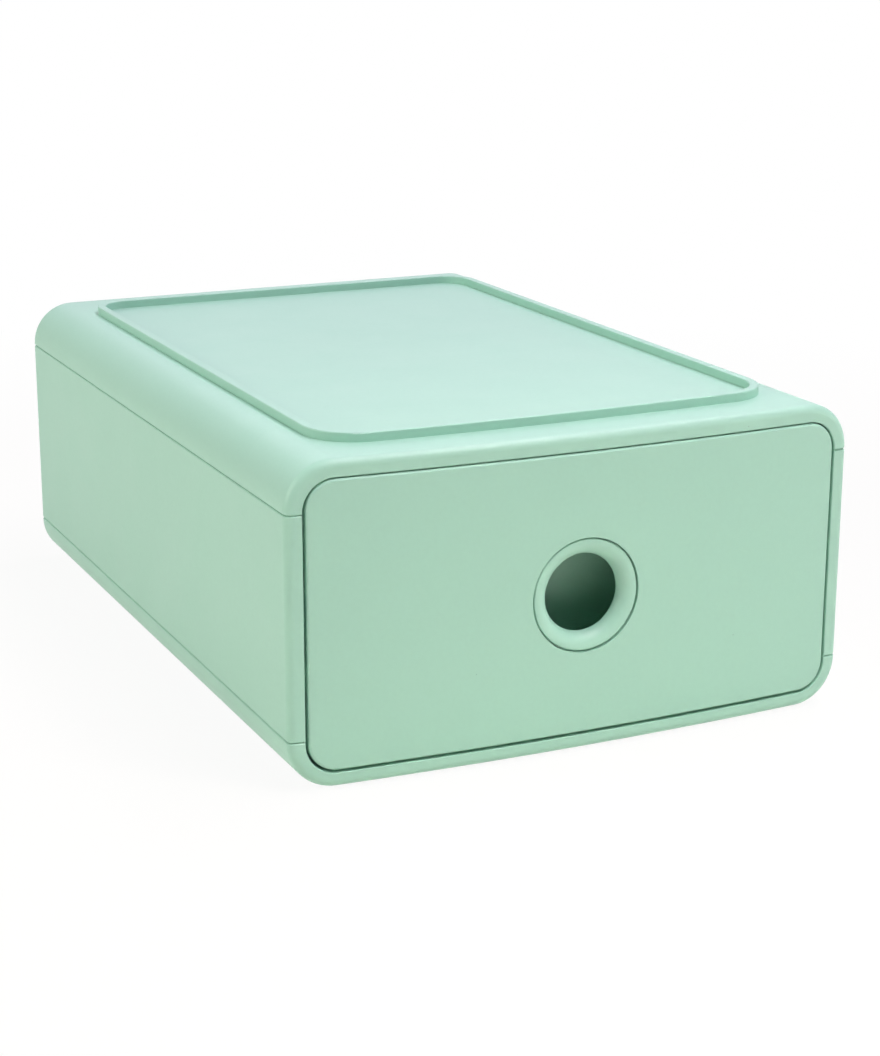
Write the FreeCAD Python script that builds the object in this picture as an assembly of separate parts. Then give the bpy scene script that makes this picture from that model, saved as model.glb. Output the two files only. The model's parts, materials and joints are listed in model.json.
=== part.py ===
import FreeCAD
import Part
import math
import os

# A desktop drawer unit: a moulded case of five panels, with one drawer that slides out of its bowed front.
# Millimetres. X runs to the right, Y from the front to the back, Z up.
# The origin lies on the ground, under the middle of the case.

V = FreeCAD.Vector
ACROSS = V(1, 0, 0)
ALONG = V(0, 1, 0)
UP = V(0, 0, 1)

# Case
case_width = 260.0
case_depth = 370.0
shell_height = 136.4
front_crown = 5.4
foot_drop = 0.8
corner_radius = 20.4
front_edge_radius = 3.4
back_edge_radius = 2.3
wall = 2.8

# Seams between the top cover, the side panels and the base
seam_margin = 0.8
seam_chamfer = 0.6
seam_slot_height = 0.36
seam_slot_depth = 1.4

# Front frame round the drawer
frame_side = 7.0
frame_rail = 6.9
frame_depth = 9.0
frame_setback = 0.4
frame_mouth_radius = 0.5
drawer_gap = 1.2
drawer_top_gap = 0.5
opening_drop = 0.4
sill_height = 0.5

# Stacking rim on the deck, and the recess under the base that takes another unit's rim
rim_height = 3.9
rim_width = 4.1
rim_side_inset = 23.8
rim_front_inset = 22.0
rim_back_inset = 24.9
rim_front_radius = 23.0
rim_back_radius = 18.0
rim_edge_radius = 0.6
stacking_clearance = 0.6

# Back panel
back_inset = 3.4
back_thickness = 2.6
back_clearance = 0.3
post_length = 13.0
post_height = 9.0
post_reach = 9.7
post_rise = 22.8

# Tabs of the side panels, and the bosses they are screwed to
tab_length = 14.0
tab_thickness = 3.0
tab_clearance = 2.1
tab_end_gap = 17.0
boss_radius = 3.6

# Runners
runner_pad = 2.0
runner_plate = 2.4
runner_flange = 2.2
runner_reach = 8.2
runner_slot = 9.0
runner_below_tray_top = 26.0
runner_front_gap = 3.0
runner_back_gap = 16.0

# Stops at the end of the drawer's travel
drawer_hold = 75.3
stop_thickness = 3.0
stop_length = 8.0
stop_peg_radius = 2.0
lug_length = 10.0
end_gap = 0.3

# Running clearances of the drawer
slot_clearance = 0.3
lug_clearance = 0.6
tongue_clearance = 0.6
tray_side_clearance = 1.2
tray_under_clearance = 1.6

# Drawer tray
tray_wall = 2.2
tray_front_wall = 2.4
tray_below_opening = 10.8
tray_back_radius = 12.0
tray_front_radius = 6.0
tray_floor_radius = 4.0
tray_bead = 1.0
tray_bead_height = 3.0
tongue_setback = 14.0
front_plate_inset = 2.0

# Drawer front
front_skin = 3.0
front_flange = 2.4
front_return = 6.7
front_face_radius = 1.2
front_screw_side_inset = 28.4
front_screw_low_inset = 21.0
front_screw_high_inset = 11.8

# Finger ring
ring_radius = 24.0
ring_gap = 0.75
ring_setback = 0.6
ring_lip = 2.2
ring_throat_radius = 16.8
ring_flare_depth = 5.0
ring_depth = 9.0
ring_sleeve_radius = 20.3
ring_sleeve_gap = 0.2
ring_edge = 0.3
ring_seat_depth = 6.0

# Finger cup that closes the hole behind the ring
cup_radius = 37.0
cup_wall = 1.8
cup_depth = 30.0
cup_floor_radius = 4.0
cup_lap = 2.0
cup_seat_gap = 0.05
cup_hole_gap = 0.7

# Screws
screw_radius = 1.45
screw_fit = 0.05
screw_clearance = 0.25
screw_head_radius = 2.8
screw_head_height = 1.8
screw_tip = 1.2
screw_slot = 0.8
case_screw_grip = 8.0
back_screw_grip = 7.4
front_screw_grip = 6.0
runner_screw_grip = 3.6
pilot_spare = 0.6

# Feet and bumpers
foot_radius = 8.0
foot_taper = 0.6
foot_edge_radius = 0.6
foot_rim_gap = 8.0
bumper_radius = 5.0
bumper_height = 5.0
bumper_edge_radius = 1.5
bumper_stem_radius = 2.0
bumper_barb = 0.7
bumper_side_inset = 57.2

# Levels worked out from the sizes above
half_width = case_width / 2
y_front = -case_depth / 2
y_back = case_depth / 2
z_under = foot_drop
z_deck = z_under + shell_height
z_upper_seam = z_deck - corner_radius - seam_margin
z_lower_seam = z_under + corner_radius + seam_margin
crown_radius = (half_width ** 2 + front_crown ** 2) / (2 * front_crown)
crown_axis_y = y_front + crown_radius

inner_half = half_width - wall
inner_radius = corner_radius - wall
opening_half = half_width - frame_side
opening_radius = corner_radius - frame_rail
z_opening_low = z_under + frame_rail - opening_drop
z_opening_high = z_deck - frame_rail - opening_drop
z_floor = z_opening_low - sill_height
z_ceiling = z_deck - wall
z_recess = z_under + rim_height + stacking_clearance

back_outer = y_back - back_inset
back_inner = back_outer - back_thickness
tray_back = back_inner - bumper_height - end_gap
tray_front = y_front + front_crown + front_return

pad_face = inner_half - runner_pad
slot_floor = pad_face - runner_plate
runner_tip = slot_floor - runner_reach
tray_half = runner_tip - tray_side_clearance
lug_half = slot_floor - lug_clearance
stop_face = slot_floor - stop_thickness
tongue_half = stop_face - tongue_clearance
tab_half = tray_half + tab_clearance
case_screw_x = (tab_half + inner_half) / 2

tray_bottom = z_opening_low + tray_under_clearance
tray_top = z_opening_high - tray_below_opening
runner_z = tray_top - runner_below_tray_top
runner_front = y_front + front_crown + frame_depth + runner_front_gap
runner_back = back_inner - runner_back_gap
tongue_height = runner_slot - 2 * slot_clearance
lug_back = runner_back - end_gap
lug_front = lug_back - lug_length
drawer_travel = lug_back - runner_front - drawer_hold
stop_back = lug_front - drawer_travel - end_gap

front_half = opening_half - drawer_gap
front_low = z_opening_low + drawer_gap
front_high = z_opening_high - drawer_top_gap
front_radius = opening_radius - drawer_gap
front_screw_x = tray_half - front_screw_side_inset
front_screw_levels = (tray_bottom + front_screw_low_inset, tray_top - front_screw_high_inset)
ring_z = (z_opening_low + z_opening_high) / 2
ring_front = y_front + ring_setback

pilot_radius = screw_radius + screw_fit
passage_radius = screw_radius + screw_clearance
tab_front = runner_front + tab_end_gap
tab_back = runner_back - tab_end_gap
tab_places = (tab_front, (tab_front + tab_back) / 2, tab_back)
runner_half_height = runner_slot / 2 + runner_flange
post_low_z = z_lower_seam + post_rise
post_high_z = runner_z + runner_half_height + post_height / 2
post_levels = (post_low_z, post_high_z)
post_x = inner_half - post_reach / 2
bumper_x = inner_half - bumper_side_inset


# Helpers

def block(x_range, y_range, z_range):
    corner = V(x_range[0], y_range[0], z_range[0])
    return Part.makeBox(x_range[1] - x_range[0], y_range[1] - y_range[0], z_range[1] - z_range[0], corner)


def cylinder(radius, start, direction, length):
    return Part.makeCylinder(radius, length, start, direction)


def lines_through(points):
    return [Part.makeLine(start, end) for start, end in zip(points, points[1:])]


def mirrored(shape):
    return shape.mirror(V(0, 0, 0), ACROSS)


def one_solid(shape):
    merged = shape.removeSplitter()
    if len(merged.Solids) != 1:
        raise ValueError("a piece came out as %d solids" % len(merged.Solids))
    return merged.Solids[0]


def edges_along(shape, direction):
    straight = [edge for edge in shape.Edges if isinstance(edge.Curve, Part.Line)]
    return [edge for edge in straight if abs(edge.Curve.Direction.dot(direction)) > 0.999]


def edges_at_height(shape, height):
    boxes = [(edge, edge.BoundBox) for edge in shape.Edges]
    return [edge for edge, box in boxes if abs(box.ZMin - height) < 0.01 and abs(box.ZMax - height) < 0.01]


def edges_at_depth(shape, depth):
    boxes = [(edge, edge.BoundBox) for edge in shape.Edges]
    return [edge for edge, box in boxes if abs(box.YMin - depth) < 0.01 and abs(box.YMax - depth) < 0.01]


def edges_on_crown(shape, setback):
    """Edges that lie on the bowed front surface, or a set distance behind it."""
    picked = []
    for edge in shape.Edges:
        distances = [math.hypot(point.x, point.y - crown_axis_y) for point in edge.discretize(5)]
        if all(abs(distance + setback - crown_radius) < 0.01 for distance in distances):
            picked.append(edge)
    return picked


def rounded_tunnel(half, z_range, radius, y_range):
    """A block along Y with its four long edges rounded."""
    tunnel = block((-half, half), y_range, z_range)
    return tunnel.makeFillet(radius, edges_along(tunnel, ALONG))


def bowed_block(half, crown_y, radius, rear_y, z_range):
    """A block whose front is an upright arc that stands furthest forward in the middle."""
    side_y = crown_y + radius - math.sqrt(radius ** 2 - half ** 2)
    left = V(-half, side_y, z_range[0])
    right = V(half, side_y, z_range[0])
    rear_left = V(-half, rear_y, z_range[0])
    rear_right = V(half, rear_y, z_range[0])
    front = Part.Arc(left, V(0, crown_y, z_range[0]), right).toShape()
    sides = lines_through([right, rear_right, rear_left, left])
    return Part.Face(Part.Wire([front] + sides)).extrude(UP * (z_range[1] - z_range[0]))


def behind_front(setback):
    """All the space behind the bowed front surface, from a set distance back."""
    heights = (z_under - corner_radius, z_deck + corner_radius)
    return bowed_block(case_width, y_front + setback, crown_radius - setback, case_depth, heights)


def rounded_tub(half, y_range, z_range, front_corner, back_corner, floor_edge):
    """A block with rounded upright corners and rounded edges underneath."""
    tub = block((-half, half), y_range, z_range)
    back = [edge for edge in edges_along(tub, UP) if edge.CenterOfMass.y > y_range[1] - 0.01]
    tub = tub.makeFillet(back_corner, back)
    if front_corner > 0:
        front = [edge for edge in edges_along(tub, UP) if edge.CenterOfMass.y < y_range[0] + 0.01]
        tub = tub.makeFillet(front_corner, front)
    lowest = edges_at_height(tub, z_range[0])
    if front_corner == 0:
        lowest = [edge for edge in lowest if edge.CenterOfMass.y > y_range[0] + 0.01]
    return tub.makeFillet(floor_edge, lowest)


# Screws

def cross_recess(depth):
    reach = screw_head_radius * 0.6
    one_way = block((-reach, reach), (-screw_slot / 2, screw_slot / 2), (-depth, depth))
    other_way = block((-screw_slot / 2, screw_slot / 2), (-reach, reach), (-depth, depth))
    return one_way.fuse(other_way)


def screw_shank(length):
    plain = cylinder(screw_radius, V(0, 0, 0), -UP, length - screw_tip)
    tip = Part.makeCone(screw_radius, screw_radius / 3, screw_tip, V(0, 0, screw_tip - length), -UP)
    return plain.fuse(tip)


def placed(shape, seat, direction):
    """Turn a screw that points down so that it is driven along a direction, with its head at the seat."""
    moved = shape.copy()
    moved.Placement = FreeCAD.Placement(seat, FreeCAD.Rotation(-UP, direction))
    return moved


def pan_screw(length):
    head = cylinder(screw_head_radius, V(0, 0, 0), UP, screw_head_height)
    head = head.makeFillet(screw_head_height / 3, edges_at_height(head, screw_head_height))
    recess = cross_recess(screw_head_height / 2)
    recess.translate(UP * screw_head_height)
    return one_solid(head.fuse(screw_shank(length)).cut(recess))


def countersunk_cone(spare):
    depth = screw_head_radius - screw_radius
    return Part.makeCone(screw_head_radius + spare, screw_radius + spare, depth, V(0, 0, 0), -UP)


def countersunk_screw(length):
    head = countersunk_cone(0).fuse(screw_shank(length))
    return one_solid(head.cut(cross_recess(screw_head_height / 2)))


def group(shapes):
    return Part.makeCompound(shapes)


# Case

def case_envelope():
    tunnel = rounded_tunnel(half_width, (z_under, z_deck), corner_radius, (y_front, y_back))
    envelope = tunnel.common(behind_front(frame_setback))
    envelope = envelope.makeFillet(back_edge_radius, edges_at_depth(envelope, y_back))
    return envelope.makeFillet(front_edge_radius, edges_on_crown(envelope, frame_setback))


def case_slab(envelope, z_range, seams):
    """A level slice of the case, with a chamfer round each seam it ends at."""
    space = block((-case_width, case_width), (-case_depth, case_depth), z_range)
    slab = one_solid(envelope.common(space))
    for seam in seams:
        slab = slab.makeChamfer(seam_chamfer, edges_at_height(slab, seam))
    return slab


def seam_slot(seam):
    """A thin slot round the front and the sides of the case at a seam."""
    heights = (seam - seam_slot_height / 2, seam + seam_slot_height / 2)
    core_half = half_width - seam_slot_depth
    core = block((-core_half, core_half), (y_front, case_depth), heights)
    core = core.common(behind_front(frame_setback + seam_slot_depth))
    return block((-case_width, case_width), (-case_depth, case_depth), heights).cut(core)


def case_cavity(growth):
    """The hollow of the case behind its front frame, open at the back."""
    heights = (z_floor - growth, z_ceiling + growth)
    tunnel = rounded_tunnel(inner_half + growth, heights, inner_radius + growth, (y_front, case_depth))
    return tunnel.common(behind_front(frame_depth - growth))


def frame_opening():
    return rounded_tunnel(opening_half, (z_opening_low, z_opening_high), opening_radius, (-case_depth, 0))


def soft_mouth(piece):
    """Round the front edge of the frame where the drawer goes in."""
    mouth = []
    for edge in edges_on_crown(piece, frame_setback):
        inside = all(abs(point.x) < opening_half + 0.01 for point in edge.discretize(5))
        if inside and z_opening_low - 0.01 < edge.CenterOfMass.z < z_opening_high + 0.01:
            mouth.append(edge)
    return piece.makeFillet(frame_mouth_radius, mouth)


def hollowed(slab):
    return slab.cut([case_cavity(0), frame_opening()])


def rim_block(growth, z_range):
    """The outline of the stacking rim, grown or shrunk, as a block."""
    half = half_width - rim_side_inset + growth
    crown_y = y_front + rim_front_inset - growth
    outline = bowed_block(half, crown_y, crown_radius, y_back - rim_back_inset + growth, z_range)
    front = [edge for edge in edges_along(outline, UP) if edge.CenterOfMass.y < 0]
    outline = outline.makeFillet(rim_front_radius + growth, front)
    back = [edge for edge in edges_along(outline, UP) if edge.CenterOfMass.y > 0]
    return outline.makeFillet(rim_back_radius + growth, back)


def stacking_rim():
    bottom = z_deck - wall / 2
    top = z_deck + rim_height
    rim = rim_block(0, (bottom, top)).cut(rim_block(-rim_width, (bottom, top)))
    return rim.makeFillet(rim_edge_radius, edges_at_height(rim, top))


def seam_bosses(seam, direction):
    """Bosses on both sides that end at a seam and run into the shell, with their pilot holes."""
    bosses = []
    pilots = []
    for side in (-1, 1):
        for y in tab_places:
            foot = V(side * case_screw_x, y, seam)
            bosses.append(cylinder(boss_radius, foot, direction, corner_radius))
            pilots.append(cylinder(pilot_radius, foot, direction, case_screw_grip + pilot_spare))
    within = case_cavity(wall / 2)
    return [boss.common(within) for boss in bosses], pilots


def top_cover(envelope):
    slab = case_slab(envelope, (z_upper_seam, z_deck), (z_upper_seam,))
    bosses, pilots = seam_bosses(z_upper_seam, UP)
    cover = soft_mouth(hollowed(slab))
    return one_solid(cover.fuse(bosses + [stacking_rim()]).cut(pilots + [seam_slot(z_upper_seam)]))


def base_tray(envelope):
    slab = case_slab(envelope, (z_under, z_lower_seam), (z_lower_seam,))
    bosses, pilots = seam_bosses(z_lower_seam, -UP)
    base = soft_mouth(hollowed(slab))
    recess = rim_block(stacking_clearance, (z_under - wall, z_recess))
    return one_solid(base.fuse(bosses).cut(pilots + [recess, seam_slot(z_lower_seam)]))


def panel_tabs():
    """Tabs of the right side panel along both seams, with a screw hole in each."""
    tabs = []
    holes = []
    for y in tab_places:
        for low in (z_lower_seam, z_upper_seam - tab_thickness):
            width = (tab_half, inner_half + wall / 2)
            tabs.append(block(width, (y - tab_length / 2, y + tab_length / 2), (low, low + tab_thickness)))
            holes.append(cylinder(passage_radius, V(case_screw_x, y, low), UP, tab_thickness))
    return tabs, holes


def panel_posts():
    """Posts at the back of the right side panel that the back panel is screwed to."""
    posts = []
    pilots = []
    width = (inner_half - post_reach, inner_half + wall / 2)
    depth = (back_inner - post_length, back_inner)
    for z in post_levels:
        posts.append(block(width, depth, (z - post_height / 2, z + post_height / 2)))
        pilots.append(cylinder(pilot_radius, V(post_x, back_inner, z), -ALONG, back_screw_grip + pilot_spare))
    return posts, pilots


def right_side_panel(envelope):
    slab = case_slab(envelope, (z_lower_seam, z_upper_seam), (z_lower_seam, z_upper_seam))
    walls = hollowed(slab)
    panel = soft_mouth([wall_solid for wall_solid in walls.Solids if wall_solid.CenterOfMass.x > 0][0])
    pad_heights = (runner_z - runner_half_height, runner_z + runner_half_height)
    pad = block((pad_face, inner_half + wall / 2), (runner_front, runner_back), pad_heights)
    tabs, holes = panel_tabs()
    posts, pilots = panel_posts()
    pilot_depth = runner_screw_grip + pilot_spare
    for y in tab_places:
        pilots.append(cylinder(pilot_radius, V(pad_face, y, runner_z), ACROSS, pilot_depth))
    slots = [seam_slot(z_lower_seam), seam_slot(z_upper_seam)]
    return one_solid(panel.fuse([pad] + tabs + posts).cut(holes + pilots + slots))


def back_panel():
    half = inner_half - back_clearance
    heights = (z_floor + back_clearance, z_ceiling - back_clearance)
    panel = rounded_tunnel(half, heights, inner_radius - back_clearance, (back_inner, back_outer))
    holes = []
    for side in (-1, 1):
        for z in post_levels:
            holes.append(cylinder(passage_radius, V(side * post_x, back_inner, z), ALONG, back_thickness))
        bumper_centre = V(side * bumper_x, back_inner, ring_z)
        holes.append(cylinder(bumper_stem_radius, bumper_centre, ALONG, back_thickness))
    return one_solid(panel.cut(holes))


def right_runner():
    """A channel that opens inwards and carries the drawer's tongue."""
    length = (runner_front, runner_back)
    bar_heights = (runner_z - runner_half_height, runner_z + runner_half_height)
    bar = block((runner_tip, pad_face), length, bar_heights)
    slot = block((runner_tip, slot_floor), length, (runner_z - runner_slot / 2, runner_z + runner_slot / 2))
    peg_centre = V(slot_floor, stop_back - stop_length / 2, runner_z)
    tools = [slot, cylinder(stop_peg_radius, peg_centre, ACROSS, runner_plate)]
    for y in tab_places:
        tools.append(cylinder(passage_radius, V(slot_floor, y, runner_z), ACROSS, runner_plate))
        tools.append(placed(countersunk_cone(screw_fit), V(slot_floor, y, runner_z), ACROSS))
    return one_solid(bar.cut(tools))


def right_runner_stop():
    heights = (runner_z - tongue_height / 2, runner_z + tongue_height / 2)
    stop = block((stop_face, slot_floor), (stop_back - stop_length, stop_back), heights)
    peg_start = V(slot_floor - stop_thickness / 2, stop_back - stop_length / 2, runner_z)
    peg = cylinder(stop_peg_radius - screw_fit, peg_start, ACROSS, stop_thickness / 2 + runner_plate)
    return one_solid(stop.fuse(peg))


# Fasteners of the case

def case_screws(seat, direction):
    screw = pan_screw(tab_thickness + case_screw_grip)
    places = [(side * case_screw_x, y) for side in (-1, 1) for y in tab_places]
    return group([placed(screw, V(x, y, seat), direction) for x, y in places])


def runner_screws():
    screw = countersunk_screw(runner_plate + runner_screw_grip)
    right = [placed(screw, V(slot_floor, y, runner_z), ACROSS) for y in tab_places]
    left = [placed(screw, V(-slot_floor, y, runner_z), -ACROSS) for y in tab_places]
    return group(left + right)


def back_panel_screws():
    screw = pan_screw(back_thickness + back_screw_grip)
    places = [(side * post_x, z) for side in (-1, 1) for z in post_levels]
    return group([placed(screw, V(x, back_outer, z), -ALONG) for x, z in places])


def right_foot(y):
    x = half_width - rim_side_inset - foot_rim_gap - foot_radius
    foot = Part.makeCone(foot_radius - foot_taper, foot_radius, z_recess, V(x, y, 0), UP)
    return foot.makeFillet(foot_edge_radius, edges_at_height(foot, 0))


def right_bumper():
    centre = V(bumper_x, back_inner, ring_z)
    stem_radius = bumper_stem_radius - screw_fit
    barb_radius = bumper_stem_radius + bumper_barb
    pad = cylinder(bumper_radius, centre, -ALONG, bumper_height)
    pad = pad.makeFillet(bumper_edge_radius, edges_at_depth(pad, back_inner - bumper_height))
    stem = cylinder(stem_radius, centre, ALONG, back_thickness)
    barb = Part.makeCone(barb_radius, stem_radius, stem_radius, centre + ALONG * back_thickness, ALONG)
    return one_solid(pad.fuse([stem, barb]))


# Drawer

def drawer_tray():
    heights = (tray_bottom, tray_top)
    outer = rounded_tub(tray_half, (tray_front, tray_back), heights, 0, tray_back_radius, tray_floor_radius)
    bead_half = tray_half + tray_bead
    bead_heights = (tray_top - tray_bead_height, tray_top)
    bead = block((-bead_half, bead_half), (tray_front, tray_back + tray_bead), bead_heights)
    bead_corners = [edge for edge in edges_along(bead, UP) if edge.CenterOfMass.y > 0]
    bead = bead.makeFillet(tray_back_radius + tray_bead, bead_corners)
    plate = front_plate()
    inside = rounded_tub(
        tray_half - tray_wall,
        (tray_front + tray_front_wall, tray_back - tray_wall),
        (tray_bottom + tray_wall, z_deck),
        tray_front_radius,
        tray_back_radius - tray_wall,
        tray_floor_radius - tray_wall / 2,
    )
    body = outer.fuse([bead, plate] + tray_tongues()).cut(inside)
    cup_passage = cup_radius + cup_wall + cup_hole_gap
    holes = [cylinder(cup_passage, V(0, tray_front, ring_z), ALONG, tray_front_wall)]
    for x, z in front_screw_places():
        holes.append(cylinder(passage_radius, V(x, tray_front, z), ALONG, tray_front_wall))
    return one_solid(body.cut(holes))


def front_plate():
    """The tray's front wall, carried out behind the whole drawer front."""
    heights = (front_low + front_plate_inset, front_high - front_plate_inset)
    depth = (tray_front, tray_front + tray_front_wall)
    return rounded_tunnel(front_half - front_plate_inset, heights, front_radius - front_plate_inset, depth)


def tray_tongues():
    """Ribs along the tray's sides that ride in the runners, each with a stop lug at its back end."""
    root = tray_half - tray_wall / 2
    heights = (runner_z - tongue_height / 2, runner_z + tongue_height / 2)
    tongue = block((root, tongue_half), (tray_front + tongue_setback, lug_back), heights)
    lug = block((root, lug_half), (lug_front, lug_back), heights)
    right = tongue.fuse(lug)
    return [right, mirrored(right)]


def front_screw_places():
    return [(x, z) for x in (-front_screw_x, front_screw_x) for z in front_screw_levels]


def drawer_front():
    depth = (y_front, tray_front)
    shell = rounded_tunnel(front_half, (front_low, front_high), front_radius, depth).common(behind_front(0))
    shell = shell.makeFillet(front_face_radius, edges_on_crown(shell, 0))
    hollow_heights = (front_low + front_flange, front_high - front_flange)
    hollow = rounded_tunnel(front_half - front_flange, hollow_heights, front_radius - front_flange, depth)
    hollow = hollow.common(behind_front(front_skin))
    seat_radius = cup_radius - cup_seat_gap
    inside_skin = behind_front(front_skin / 2)
    additions = [cylinder(seat_radius, V(0, y_front, ring_z), ALONG, ring_seat_depth).common(inside_skin)]
    tools = [
        cylinder(ring_radius + ring_gap, V(0, y_front, ring_z), ALONG, ring_setback + ring_lip),
        cylinder(ring_sleeve_radius + ring_sleeve_gap, V(0, y_front, ring_z), ALONG, ring_seat_depth),
    ]
    for x, z in front_screw_places():
        boss = cylinder(boss_radius, V(x, y_front, z), ALONG, tray_front - y_front)
        additions.append(boss.common(inside_skin))
        tools.append(cylinder(pilot_radius, V(x, tray_front, z), -ALONG, front_screw_grip + pilot_spare))
    return one_solid(shell.cut(hollow).fuse(additions).cut(tools))


def drawer_front_screws():
    screw = pan_screw(tray_front_wall + front_screw_grip)
    seat = tray_front + tray_front_wall
    return group([placed(screw, V(x, seat, z), -ALONG) for x, z in front_screw_places()])


def pull_ring():
    """A ring whose front rolls inwards to a throat and opens again behind it."""
    flare_radius = ring_radius - ring_edge - ring_throat_radius
    middle = math.sqrt(0.5)

    def at(radius, depth):
        return V(radius, ring_front + depth, ring_z)

    outer_edge = at(ring_radius, ring_edge)
    flare_start = at(ring_radius - ring_edge, 0)
    flare_middle = at(ring_radius - ring_edge - flare_radius * middle, ring_flare_depth * (1 - middle))
    throat = at(ring_throat_radius, ring_flare_depth)
    rear_inner = at(ring_sleeve_radius - ring_edge * 3, ring_depth)
    rear_outer = at(ring_sleeve_radius, ring_depth)
    lip_root = at(ring_sleeve_radius, ring_lip)
    lip_back = at(ring_radius, ring_lip)
    flare = Part.Arc(flare_start, flare_middle, throat).toShape()
    sides = lines_through([throat, rear_inner, rear_outer, lip_root, lip_back, outer_edge, flare_start])
    section = Part.Face(Part.Wire([flare] + sides))
    return one_solid(section.revolve(V(0, 0, ring_z), ALONG, 360))


def finger_cup():
    """A round bowl pressed over the ring's seat, wide enough for a finger to hook behind the ring."""
    mouth = ring_seat_depth - cup_lap
    outer = cup_radius + cup_wall
    back = cup_depth + cup_wall

    def at(radius, depth):
        return V(radius, y_front + depth, ring_z)

    def floor_corner(radius, depth, edge):
        """The start, middle and end of the quarter circle from a wall of the cup into its floor."""
        halfway = edge * (1 - math.sqrt(0.5))
        return at(radius, depth - edge), at(radius - halfway, depth - halfway), at(radius - edge, depth)

    inside = floor_corner(cup_radius, cup_depth, cup_floor_radius)
    outside = floor_corner(outer, back, cup_floor_radius + cup_wall)
    edges = lines_through([at(cup_radius, mouth), inside[0]])
    edges.append(Part.Arc(*inside).toShape())
    edges += lines_through([inside[2], at(0, cup_depth), at(0, back), outside[2]])
    edges.append(Part.Arc(*outside).toShape())
    edges += lines_through([outside[0], at(outer, mouth), at(cup_radius, mouth)])
    return one_solid(Part.Face(Part.Wire(edges)).revolve(V(0, 0, ring_z), ALONG, 360))


def build():
    envelope = case_envelope()
    right_panel = right_side_panel(envelope)
    front_foot = right_foot(y_front + front_crown + rim_front_inset + foot_rim_gap + foot_radius)
    back_foot = right_foot(y_back - rim_back_inset - foot_rim_gap - foot_radius)
    return {
        "top_cover": top_cover(envelope),
        "base_tray": base_tray(envelope),
        "left_side_panel": mirrored(right_panel),
        "right_side_panel": right_panel,
        "back_panel": back_panel(),
        "left_runner": mirrored(right_runner()),
        "right_runner": right_runner(),
        "left_runner_stop": mirrored(right_runner_stop()),
        "right_runner_stop": right_runner_stop(),
        "runner_screws": runner_screws(),
        "upper_case_screws": case_screws(z_upper_seam - tab_thickness, UP),
        "lower_case_screws": case_screws(z_lower_seam + tab_thickness, -UP),
        "back_panel_screws": back_panel_screws(),
        "front_left_foot": mirrored(front_foot),
        "front_right_foot": front_foot,
        "back_left_foot": mirrored(back_foot),
        "back_right_foot": back_foot,
        "left_bumper": mirrored(right_bumper()),
        "right_bumper": right_bumper(),
        "drawer_tray": drawer_tray(),
        "drawer_front": drawer_front(),
        "pull_ring": pull_ring(),
        "finger_cup": finger_cup(),
        "drawer_front_screws": drawer_front_screws(),
    }


os.makedirs("parts", exist_ok=True)
for node, shape in build().items():
    shape.exportStep("parts/%s.step" % node)
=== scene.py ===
import json
import math

import bpy
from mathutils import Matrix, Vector

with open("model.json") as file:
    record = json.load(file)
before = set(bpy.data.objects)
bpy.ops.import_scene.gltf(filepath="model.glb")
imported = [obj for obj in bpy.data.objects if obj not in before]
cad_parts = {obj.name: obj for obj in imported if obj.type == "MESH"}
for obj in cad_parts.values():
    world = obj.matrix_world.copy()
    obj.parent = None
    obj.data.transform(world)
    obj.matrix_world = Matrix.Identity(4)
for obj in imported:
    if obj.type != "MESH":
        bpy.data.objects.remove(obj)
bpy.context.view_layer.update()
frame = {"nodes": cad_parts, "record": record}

# A desktop drawer unit in satin mint plastic, on a plain white floor.
# Metres, watts and degrees. X runs to the right, Y from the front to the back, Z up.

scene = bpy.context.scene
nodes = frame["nodes"]

# Camera, with its lens and sensor in millimetres
camera_place = (-0.42823, -0.95845, 0.35373)
camera_turns = (73.793, -0.120, -25.012)
camera_lens = 76.606
camera_sensor = 36.0
camera_clip = (0.01, 50.0)

# Light
white = (1.0, 1.0, 1.0, 1.0)
room_level = 0.06
overhead_light = (1.0, 0.87, 1.0)
front_light = (0.94, 1.0, 0.93)
warm_light = (1.0, 0.99, 0.89)
sky_light = (0.80, 0.84, 1.0)
middle = (0.0, 0.0, 0.07)
floor_in_front = (0.0, -0.5, 0.0)

# Floor, which lets the object's shadow show within a short reach
floor_half = 6.0
floor_level = -0.0002
floor_colour = (0.90, 0.87, 0.77)
floor_roughness = 0.9
floor_glow = 0.93
floor_shadow_reach = (0.45, 0.80)

# Plastics, steel and rubber, as linear colours
mint = (0.372, 0.650, 0.530)
runner_white = (0.72, 0.73, 0.69)
zinc = (0.62, 0.62, 0.60)
zinc_film = (0.66, 0.64, 0.56)
rubber_grey = (0.045, 0.047, 0.047)
dust_grey = (0.35, 0.34, 0.31)
mint_ior = 1.52
seed_step = 3.7


def shade(colour, factor=1.0):
    return tuple(part * factor for part in colour) + (1.0,)


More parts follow.
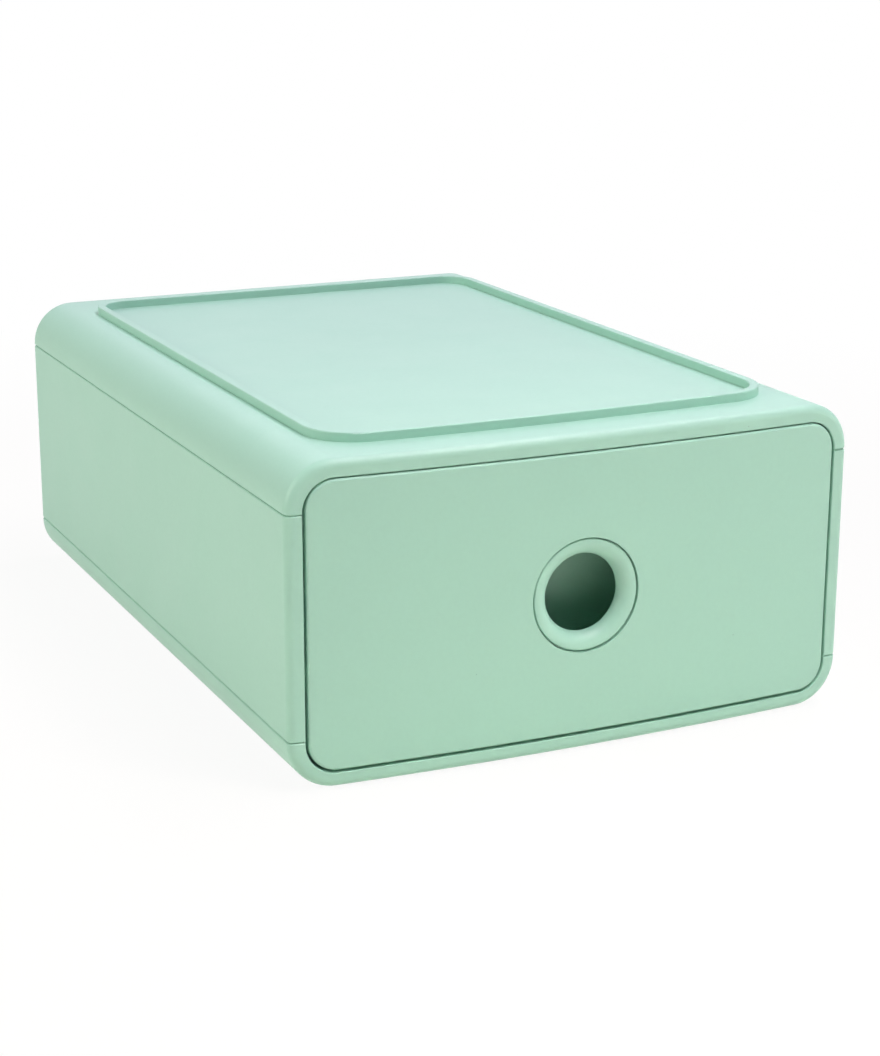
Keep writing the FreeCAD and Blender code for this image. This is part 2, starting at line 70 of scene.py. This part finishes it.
class Graph:
    """The nodes of one material, with short ways to add and join them."""

    def __init__(self, name, seed):
        self.material = bpy.data.materials.new(name)
        self.material.use_nodes = True
        self.tree = self.material.node_tree
        self.shader = self.tree.nodes["Principled BSDF"]
        self.seed = seed
        self.place = self.add("ShaderNodeTexCoord").outputs["Object"]

    def add(self, kind, **settings):
        node = self.tree.nodes.new(kind)
        for key, value in settings.items():
            setattr(node, key, value)
        return node

    def feed(self, socket, value):
        if isinstance(value, bpy.types.NodeSocket):
            self.tree.links.new(value, socket)
        else:
            socket.default_value = value

    def stretched(self, stretch, turns=(0.0, 0.0, 0.0)):
        """The place on the surface, turned and then scaled by a different amount along each axis."""
        node = self.add("ShaderNodeMapping")
        self.feed(node.inputs["Vector"], self.place)
        self.feed(node.inputs["Rotation"], [math.radians(turn) for turn in turns])
        self.feed(node.inputs["Scale"], stretch)
        return node.outputs["Vector"]

    def noise(self, scale, detail=2.0, place=None):
        node = self.add("ShaderNodeTexNoise", noise_dimensions="4D")
        self.feed(node.inputs["Vector"], place or self.place)
        self.feed(node.inputs["W"], self.seed)
        self.feed(node.inputs["Scale"], scale)
        self.feed(node.inputs["Detail"], detail)
        return node.outputs["Fac"]

    def ranged(self, value, old, new=(0.0, 1.0)):
        """A value carried from its old range to a new one, and held at the ends."""
        node = self.add("ShaderNodeMapRange")
        for socket, number in zip(node.inputs, (value, *old, *new)):
            self.feed(socket, number)
        return node.outputs["Result"]

    def combined(self, operation, first, second):
        node = self.add("ShaderNodeMath", operation=operation)
        self.feed(node.inputs[0], first)
        self.feed(node.inputs[1], second)
        return node.outputs["Value"]

    def mixed(self, factor, first, second):
        node = self.add("ShaderNodeMix", data_type="RGBA")
        self.feed(node.inputs["Factor"], factor)
        self.feed(node.inputs["A"], first)
        self.feed(node.inputs["B"], second)
        return node.outputs["Result"]

    def tinted(self, factor, colour, dark, light):
        """A colour that goes from a dark shade to a light one as the factor goes from 0 to 1."""
        return self.mixed(factor, shade(colour, dark), shade(colour, light))

    def specks(self, scale, radius, share):
        """Small dots, 1 inside a dot: one cell in a few has a dot at its middle."""
        node = self.add("ShaderNodeTexVoronoi", voronoi_dimensions="4D")
        self.feed(node.inputs["Vector"], self.place)
        self.feed(node.inputs["W"], self.seed)
        self.feed(node.inputs["Scale"], scale)
        dot = self.ranged(node.outputs["Distance"], (radius * 0.6, radius), (1.0, 0.0))
        split = self.add("ShaderNodeSeparateColor")
        self.feed(split.inputs["Color"], node.outputs["Color"])
        chosen = self.combined("LESS_THAN", split.outputs["Red"], share)
        return self.combined("MULTIPLY", dot, chosen)

    def spotted(self, colour, dots, strength, dot_colour):
        """A colour with dots of another colour let through it."""
        return self.mixed(self.combined("MULTIPLY", dots, strength), colour, dot_colour)

    def bump(self, height, depth, below=None):
        node = self.add("ShaderNodeBump")
        self.feed(node.inputs["Height"], height)
        self.feed(node.inputs["Distance"], depth)
        if below is not None:
            self.feed(node.inputs["Normal"], below)
        return node.outputs["Normal"]

    def surface(self, colour, roughness, normal):
        """The material, once its shader has its colour, roughness and relief."""
        for name, value in (("Base Color", colour), ("Roughness", roughness), ("Normal", normal)):
            self.feed(self.shader.inputs[name], value)
        return self.material


# Finishes

def mint_plastic(name, seed):
    """Satin moulded plastic: cloudy pigment, fine mottling, specks, rub marks and a mould grain."""
    graph = Graph(name, seed)
    graph.shader.inputs["IOR"].default_value = mint_ior
    cloud = graph.ranged(graph.noise(scale=7.0, detail=3.0), (0.3, 0.7))
    mottle = graph.ranged(graph.noise(scale=520.0, detail=3.0), (0.25, 0.75))
    broad = graph.tinted(cloud, mint, dark=0.975, light=1.025)
    fine = graph.tinted(mottle, mint, dark=0.975, light=1.025)
    colour = graph.mixed(0.5, broad, fine)
    dots = graph.specks(scale=260.0, radius=0.09, share=0.06)
    colour = graph.spotted(colour, dots, strength=0.4, dot_colour=shade(mint, 0.35))

    rubbed_along = graph.stretched((14.0, 900.0, 900.0), turns=(12.0, 8.0, 24.0))
    rub_marks = graph.ranged(graph.noise(scale=1.0, place=rubbed_along), (0.62, 0.75), (0.0, 0.07))
    satin = graph.ranged(graph.noise(scale=35.0, detail=3.0), (0.3, 0.7), (0.40, 0.46))
    roughness = graph.combined("ADD", satin, rub_marks)

    grain = graph.bump(graph.noise(scale=1500.0), depth=0.000015)
    waves = graph.bump(graph.noise(scale=18.0, detail=1.0), depth=0.00012, below=grain)
    return graph.surface(colour, roughness, waves)


def slide_plastic(name, seed):
    """Smooth off-white slide plastic with faint flow lines and polished rubbing tracks."""
    graph = Graph(name, seed)
    flow = graph.noise(scale=1.0, detail=3.0, place=graph.stretched((160.0, 9.0, 160.0)))
    colour = graph.tinted(graph.ranged(flow, (0.3, 0.7)), runner_white, dark=0.95, light=1.04)
    tracks = graph.noise(scale=1.0, place=graph.stretched((700.0, 6.0, 700.0)))
    roughness = graph.ranged(tracks, (0.35, 0.65), (0.26, 0.42))
    grain = graph.bump(graph.noise(scale=1300.0), depth=0.00002)
    return graph.surface(colour, roughness, grain)


def zinc_steel(name, seed):
    """Zinc plated steel: a cloudy passivated film, a few dull spots and a slightly uneven plating."""
    graph = Graph(name, seed)
    graph.shader.inputs["Metallic"].default_value = 1.0
    film = graph.ranged(graph.noise(scale=300.0, detail=3.0), (0.3, 0.7))
    colour = graph.mixed(film, shade(zinc, 0.90), shade(zinc_film))
    dots = graph.specks(scale=1500.0, radius=0.2, share=0.15)
    colour = graph.spotted(colour, dots, strength=0.5, dot_colour=shade(zinc, 0.45))
    roughness = graph.ranged(graph.noise(scale=900.0), (0.3, 0.7), (0.26, 0.46))
    plating = graph.bump(graph.noise(scale=4000.0), depth=0.000012)
    return graph.surface(colour, roughness, plating)


def grey_rubber(name, seed):
    """Matt soft rubber with a pebbled skin and a little dust."""
    graph = Graph(name, seed)
    bloom = graph.ranged(graph.noise(scale=240.0, detail=4.0), (0.35, 0.7))
    colour = graph.tinted(bloom, rubber_grey, dark=0.85, light=1.35)
    dots = graph.specks(scale=1400.0, radius=0.16, share=0.12)
    colour = graph.spotted(colour, dots, strength=0.35, dot_colour=shade(dust_grey))
    roughness = graph.ranged(bloom, (0.0, 1.0), (0.68, 0.86))
    pebbles = graph.bump(graph.noise(scale=1800.0, detail=3.0), depth=0.00006)
    return graph.surface(colour, roughness, pebbles)


# Each piece takes the finish that its slot in the record names, with its own pattern
finishes = {
    "mint_plastic": mint_plastic,
    "runner_plastic": slide_plastic,
    "zinc_steel": zinc_steel,
    "grey_rubber": grey_rubber,
}
for number, subpart in enumerate(frame["record"]["subparts"]):
    slot = subpart["material_slot"]
    piece = nodes[subpart["node"]]
    piece.data.materials[0] = finishes[slot](slot + "_" + subpart["node"], seed_step * number)


# Floor and room: white where the camera or a reflection sees them, and pale where they only light the object

def seen_directly(tree):
    """1 for what the camera, a reflection or a view through glass sees, 0 for all other light."""
    rays = tree.nodes.new("ShaderNodeLightPath").outputs
    total = rays["Is Camera Ray"]
    for other in ("Is Glossy Ray", "Is Transmission Ray"):
        node = tree.nodes.new("ShaderNodeMath")
        node.operation = "MAXIMUM"
        tree.links.new(total, node.inputs[0])
        tree.links.new(rays[other], node.inputs[1])
        total = node.outputs["Value"]
    return total


def floor_material():
    """A pale floor that glows white, with a small share left for the object's soft shadow."""
    graph = Graph("pale_floor", 0.0)
    graph.shader.inputs["Base Color"].default_value = shade(floor_colour)
    graph.shader.inputs["Roughness"].default_value = floor_roughness
    graph.shader.inputs["Specular IOR Level"].default_value = 0.0
    glow = graph.add("ShaderNodeEmission")
    mix = graph.add("ShaderNodeMixShader")
    distance = graph.add("ShaderNodeVectorMath", operation="LENGTH")
    graph.feed(distance.inputs[0], graph.place)
    glow_share = graph.ranged(distance.outputs["Value"], floor_shadow_reach, (floor_glow, 1.0))
    share = graph.combined("MULTIPLY", seen_directly(graph.tree), glow_share)
    graph.feed(mix.inputs["Fac"], share)
    graph.feed(mix.inputs[1], graph.shader.outputs["BSDF"])
    graph.feed(mix.inputs[2], glow.outputs["Emission"])
    graph.feed(graph.tree.nodes["Material Output"].inputs["Surface"], mix.outputs["Shader"])
    return graph.material


def make_floor():
    mesh = bpy.data.meshes.new("floor")
    sides = [(-1, -1), (1, -1), (1, 1), (-1, 1)]
    corners = [(x * floor_half, y * floor_half, floor_level) for x, y in sides]
    mesh.from_pydata(corners, [], [(0, 1, 2, 3)])
    mesh.materials.append(floor_material())
    floor = bpy.data.objects.new("floor", mesh)
    scene.collection.objects.link(floor)


def make_room():
    world = bpy.data.worlds.new("room")
    world.use_nodes = True
    scene.world = world
    tree = world.node_tree
    soft = tree.nodes["Background"]
    soft.inputs["Color"].default_value = white
    soft.inputs["Strength"].default_value = room_level
    backdrop = tree.nodes.new("ShaderNodeBackground")
    backdrop.inputs["Color"].default_value = white
    mix = tree.nodes.new("ShaderNodeMixShader")
    tree.links.new(seen_directly(tree), mix.inputs["Fac"])
    tree.links.new(soft.outputs["Background"], mix.inputs[1])
    tree.links.new(backdrop.outputs["Background"], mix.inputs[2])
    tree.links.new(mix.outputs["Shader"], tree.nodes["World Output"].inputs["Surface"])


# Lamps and camera

def softbox(name, place, size, watts, colour, target=middle, spread=180.0):
    lamp = bpy.data.lights.new(name, "AREA")
    lamp.shape = "RECTANGLE"
    lamp.size, lamp.size_y = size
    lamp.energy = watts
    lamp.color = colour
    lamp.spread = math.radians(spread)
    box = bpy.data.objects.new(name, lamp)
    box.location = place
    box.rotation_euler = (Vector(target) - Vector(place)).to_track_quat("-Z", "Y").to_euler()
    scene.collection.objects.link(box)


def make_lamps():
    softbox("overhead_softbox", place=(0.6, -0.3, 1.9), size=(2.4, 0.5), watts=33.5, colour=overhead_light)
    softbox("front_softbox", place=(1.9, -1.5, 0.2), size=(1.2, 0.4), watts=10.4, colour=front_light)
    softbox("front_floor_softbox", place=(0.5, -1.0, 1.2), size=(0.4, 0.4), watts=0.95, colour=warm_light,
            target=floor_in_front, spread=40.0)
    softbox("left_softbox", place=(-2.0, 0.0, 0.9), size=(1.2, 1.2), watts=23.5, colour=warm_light)
    softbox("rear_softbox", place=(0.5, 1.4, 1.15), size=(1.4, 0.4), watts=5.0, colour=sky_light)


def make_camera():
    lens = bpy.data.cameras.new("camera")
    lens.lens = camera_lens
    lens.sensor_width = camera_sensor
    lens.clip_start, lens.clip_end = camera_clip
    camera = bpy.data.objects.new("camera", lens)
    camera.location = camera_place
    camera.rotation_euler = [math.radians(turn) for turn in camera_turns]
    scene.collection.objects.link(camera)
    scene.camera = camera


make_floor()
make_room()
make_lamps()
make_camera()
scene.view_settings.view_transform = "Standard"
